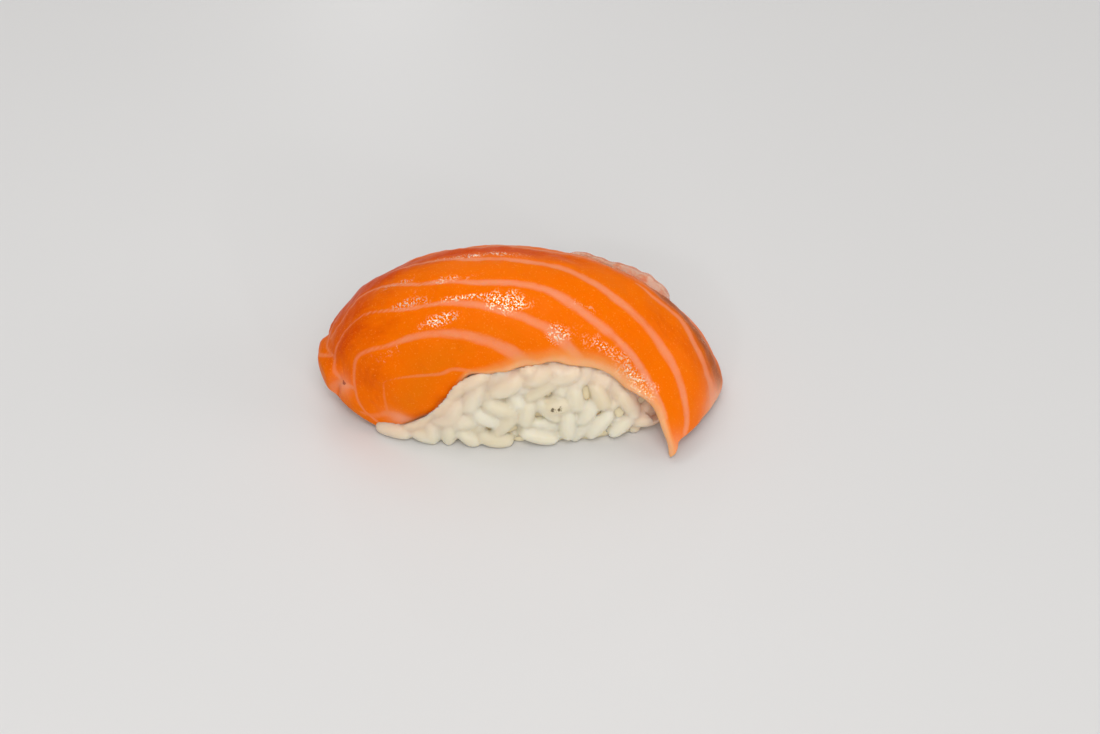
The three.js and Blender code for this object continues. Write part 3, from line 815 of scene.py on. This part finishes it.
# ---- finishes ----
def salmon_finish():
    """Wet orange flesh with pinkish fat lines, fibres along the flakes, and a grainy wet skin that glints,
    with pale painted highlight specks in its colour where it glints.
    """
    f = Finish("salmon_flesh", subsurface_weight=0.3, subsurface_scale=0.002, ior=1.33,
               specular_ior_level=0.12, specular_tint=rgb(1.0, 0.72, 0.35))
    f.shader.inputs["Subsurface Radius"].default_value = (1.0, 0.28, 0.06)
    near, white, band, along, feather, wet, deep, gold, pink, skin = (f.attribute(name) for name in (
        "fat_near", "fat_white", "band", "along", "feather", "wet", "deep", "gold", "pink", "skin"))

    soft = f.noise(5.0, 3.0, 0.55)
    grain = f.noise(0.5, 3.0, 0.6)
    fibre_place = f.node("CombineXYZ", {}, {"X": band * 9.0, "Y": along * 1.6, "Z": soft * 2.0})
    fibre = f.noise(1000.0, 4.0, 0.6, fibre_place)

    line = near + (soft - 0.5) * 1.1 + (fibre - 0.5) * 0.8 + (grain - 0.5) * 0.5
    fat = line.ramp(1.95, 0.75) * white
    halo = near.ramp(5.0, 1.0)
    tone = deep + (soft - 0.5) * 0.5 + (fibre - 0.5) * 0.6
    flesh = f.mix(tone.ramp(0.0, 1.0), rgb(0.90, 0.163, 0.0), rgb(0.66, 0.066, 0.0))
    flesh = f.mix(halo * 0.2, flesh, rgb(0.88, 0.18, 0.003))
    flesh = f.mix(gold * 0.8, flesh, rgb(0.80, 0.175, 0.002))
    flesh = f.mix((skin + (fibre - 0.5) * skin * 0.6) * 0.8, flesh, rgb(0.30, 0.07, 0.015))
    # Pinker flesh, with a faint painted sheen along the top band.
    flesh = f.mix((pink + (fibre - 0.5) * 0.5 * pink) * 0.75, flesh, rgb(0.86, 0.48, 0.34))
    flesh = f.mix(fat * (0.68 + (grain - 0.5) * 0.5), flesh, rgb(0.86, 0.35, 0.21))
    hem = (feather + (soft - 0.5) * 0.35 + (fibre - 0.5) * 0.3).ramp(0.1, 1.1)
    flesh = f.mix(hem * 0.75, flesh, rgb(0.88, 0.35, 0.11))
    flesh = f.mix((feather + (soft - 0.5) * 0.3).ramp(0.75, 1.1) * 0.8, flesh, rgb(0.86, 0.47, 0.26))

    flesh = f.mix(f.noise(0.3, 1.0, 0.5).ramp(0.62, 0.72) * 0.3, flesh, rgb(0.98, 0.34, 0.06))
    flesh = f.mix(f.speck(on_drape(*BLOOD_SPOT), 0.42, grain) * 0.7, flesh, rgb(0.22, 0.02, 0.015))

    grit = f.noise(0.31, 1.0, 0.5)
    wetter = (wet + (f.noise(1.5, 2.0, 0.5) - 0.5) * 0.9).ramp(0.3, 0.8)
    glint = wetter * grit.ramp(0.5, 0.6)
    # Painted highlight: pale specks in the colour where the wet skin glints, on top of the real metallic
    # gloss and bump.
    flesh = f.mix(glint * 0.8, flesh, rgb(1.0, 0.80, 0.60))
    height = grit * (0.12 + wetter * 0.88) + fibre * 0.15
    normal = f.bump(height, 0.12, f.bump(soft, 0.1))
    return f.finished(base_color=flesh, roughness=0.34 - wetter * 0.20, metallic=glint * 0.4, normal=normal)


def flap_finish():
    """Thin pale pink membrane with a dark red torn rim."""
    f = Finish("salmon_membrane", subsurface_weight=0.8, subsurface_scale=0.003, ior=1.36)
    f.shader.inputs["Subsurface Radius"].default_value = (1.0, 0.7, 0.5)
    rim = f.attribute("rim")
    share = f.attribute("share")
    soft = f.noise(1.8, 3.0, 0.6)
    fine = f.noise(0.5, 3.0, 0.6)
    flesh = f.mix((soft + fine * 0.5).ramp(0.62, 0.95), rgb(0.97, 0.66, 0.57), rgb(0.88, 0.34, 0.26))
    flesh = f.mix(rim.ramp(0.45, 0.1), flesh, rgb(0.88, 0.20, 0.02))
    edge = (rim + (soft - 0.5) * 0.12 + share * 0.02).ramp(0.90, 0.97)
    flesh = f.mix(edge * 0.8, flesh, rgb(0.45, 0.06, 0.05))
    return f.finished(base_color=flesh, roughness=0.25 + (fine - 0.5) * 0.2, normal=f.bump(fine, 0.08))


def rice_finish(name, deeper):
    """Moist translucent cream rice with painted shade, yellower and darker where it lies deep, and a painted
    peach glow of light from the fish near the hem. The heart is coloured as the yellower shade of the gaps.
    """
    f = Finish(name, subsurface_weight=0.3 if deeper else 0.85, subsurface_scale=0.0024, ior=1.38)
    f.shader.inputs["Subsurface Radius"].default_value = (1.0, 0.85, 0.6)
    soft = f.noise(3.0, 2.0, 0.5)
    fine = f.noise(0.45, 3.0, 0.6)
    if deeper:
        # The heart shows only in the gaps between grains, so it is coloured as their yellower painted shade.
        colour = f.mix(soft, rgb(0.84, 0.71, 0.45), rgb(0.88, 0.77, 0.54))
    else:
        crevice_shade, tone, painted_fish_glow = f.attribute("crevice_shade"), f.attribute("tone"), f.attribute("painted_fish_glow")
        patchy = (tone * 0.6 + soft * 0.5).ramp(0.1, 0.9)
        colour = f.mix(patchy, rgb(0.71, 0.63, 0.465), rgb(0.765, 0.725, 0.60))
        # Painted shade: grains that lie deep in the heap are made yellower and darker, as crevices fall in
        # shade.
        colour = f.mix(crevice_shade.ramp(0.35, 1.0) * 0.7, colour, rgb(0.73, 0.63, 0.39))
        # Painted bounce light: rice near the slice's front hem is tinted peach by light from the orange fish.
        colour = f.mix(painted_fish_glow * 0.65, colour, rgb(0.79, 0.57, 0.42))
        fleck = (f.attribute("fleck") + (fine - 0.5) * 1.2).ramp(0.4, 0.2)
        colour = f.mix(fleck * 0.9, colour, rgb(0.09, 0.06, 0.02))
    return f.finished(base_color=colour, roughness=0.34 + (fine - 0.5) * 0.25,
                      normal=f.bump(fine + soft, 0.05))


def plate_finish():
    """The pale floor: white with the faintest gloss."""
    f = Finish("floor", roughness=0.3, ior=1.4)
    return f.finished(base_color=f.mix(f.noise(90.0), rgb(0.705, 0.705, 0.71), rgb(0.725, 0.725, 0.73)))


# ---- the camera first, then light and floor ----
LOOK_AT = np.array([4.6, 5.95, 0.0])  # mm
LOOK_DOWN = np.radians(43)
LOOK_FROM = 391.0  # mm


def add_camera():
    data = bpy.data.cameras.new("camera")
    data.sensor_width = 36
    data.lens = 75.4
    data.clip_start = 0.01
    camera = bpy.data.objects.new("camera", data)
    away = np.array([0, -np.cos(LOOK_DOWN), np.sin(LOOK_DOWN)])
    camera.location = (LOOK_AT + LOOK_FROM * away) * MM
    camera.rotation_euler = (np.pi / 2 - LOOK_DOWN, 0, 0)
    bpy.context.scene.collection.objects.link(camera)
    bpy.context.scene.camera = camera


def add_light(name, direction, distance, size, watts, tint=(1, 1, 1)):
    """A square soft light that faces the food from a direction, distance and size in metres."""
    data = bpy.data.lights.new(name, "AREA")
    data.size = size
    data.energy = watts
    data.color = tint
    light = bpy.data.objects.new(name, data)
    way = Vector(direction).normalized()
    light.location = way * distance
    light.rotation_euler = way.to_track_quat("Z", "Y").to_euler()
    bpy.context.scene.collection.objects.link(light)


def add_world():
    world = bpy.data.worlds.new("studio")
    world.use_nodes = True
    sky = world.node_tree.nodes["Background"]
    sky.inputs["Color"].default_value = rgb(1.0, 0.98, 0.95)
    sky.inputs["Strength"].default_value = 0.36
    bpy.context.scene.world = world


def add_floor(material):
    half = 1500.0
    corners = np.array([[-half, -half, 0], [half, -half, 0], [half, half, 0], [-half, half, 0]])
    floor = add_piece("floor", corners, np.array([[0, 1, 2, 3]]), material)


# Small lights all round give the wet skin its glints.
GLINTS = [((0.03, -0.55, 0.84), 0.45), ((-0.38, -0.7, 0.6), 0.45), ((0.5, -0.78, 0.36), 0.4),
          ((-0.36, 0.36, 0.86), 0.25), ((-0.1, 0.88, 0.45), 0.15)]

add_camera()
add_world()
add_light("key", (0.05, -0.5, 0.86), 0.9, 0.45, 2.4, (1.0, 0.98, 0.95))
add_light("top", (-0.2, 0.5, 0.85), 1.0, 0.9, 2.1)
add_light("front", (0.1, -0.9, 0.4), 0.9, 0.5, 1.5, (1.0, 0.97, 0.93))
add_light("side", (0.9, -0.1, 0.35), 0.9, 0.4, 1.0)
for number, (way, watts) in enumerate(GLINTS):
    add_light("glint_%d" % number, way, 0.9, 0.06, watts)
bpy.context.scene.view_settings.view_transform = "Standard"
add_floor(plate_finish())

# ---- the pieces ----
salmon = make_slice(salmon_finish())
flap = make_flap(flap_finish())

rng = np.random.default_rng(RNG_SEED)
seats = [seat_front(rng), seat_hem(rng), seat_shell(rng)]
middles, headings, lengths = (np.concatenate(column) for column in zip(*seats))
girths = rng.uniform(0.86, 1.1, len(middles)) * GRAIN_RADIUS
chosen = np.arange(len(middles)) < len(FRONT_GRAINS) + HEM_COUNT
middles, headings = settle(middles, headings, lengths, girths, chosen)
shown = ~covered(middles)
middles, headings, lengths, girths = (values[shown] for values in (middles, headings, lengths, girths))
rice = rice_finish("cooked_rice", False)
grains = make_grains("rice_grains", middles, headings, lengths, girths, rice, rng)
melded(grains, MELD_CELL, MELD_ROUNDS)
press_down(grains)
shade_grains(grains, middles, headings, lengths, girths, rng)
core = make_core(rice_finish("rice_heart", True))

for piece, node, slot in ((salmon, "salmon", "salmon_flesh"), (flap, "salmon", "salmon_flesh"),
                          (grains, "rice", "cooked_rice"), (core, "rice", "cooked_rice")):
    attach(piece, "root")
    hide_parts(node)
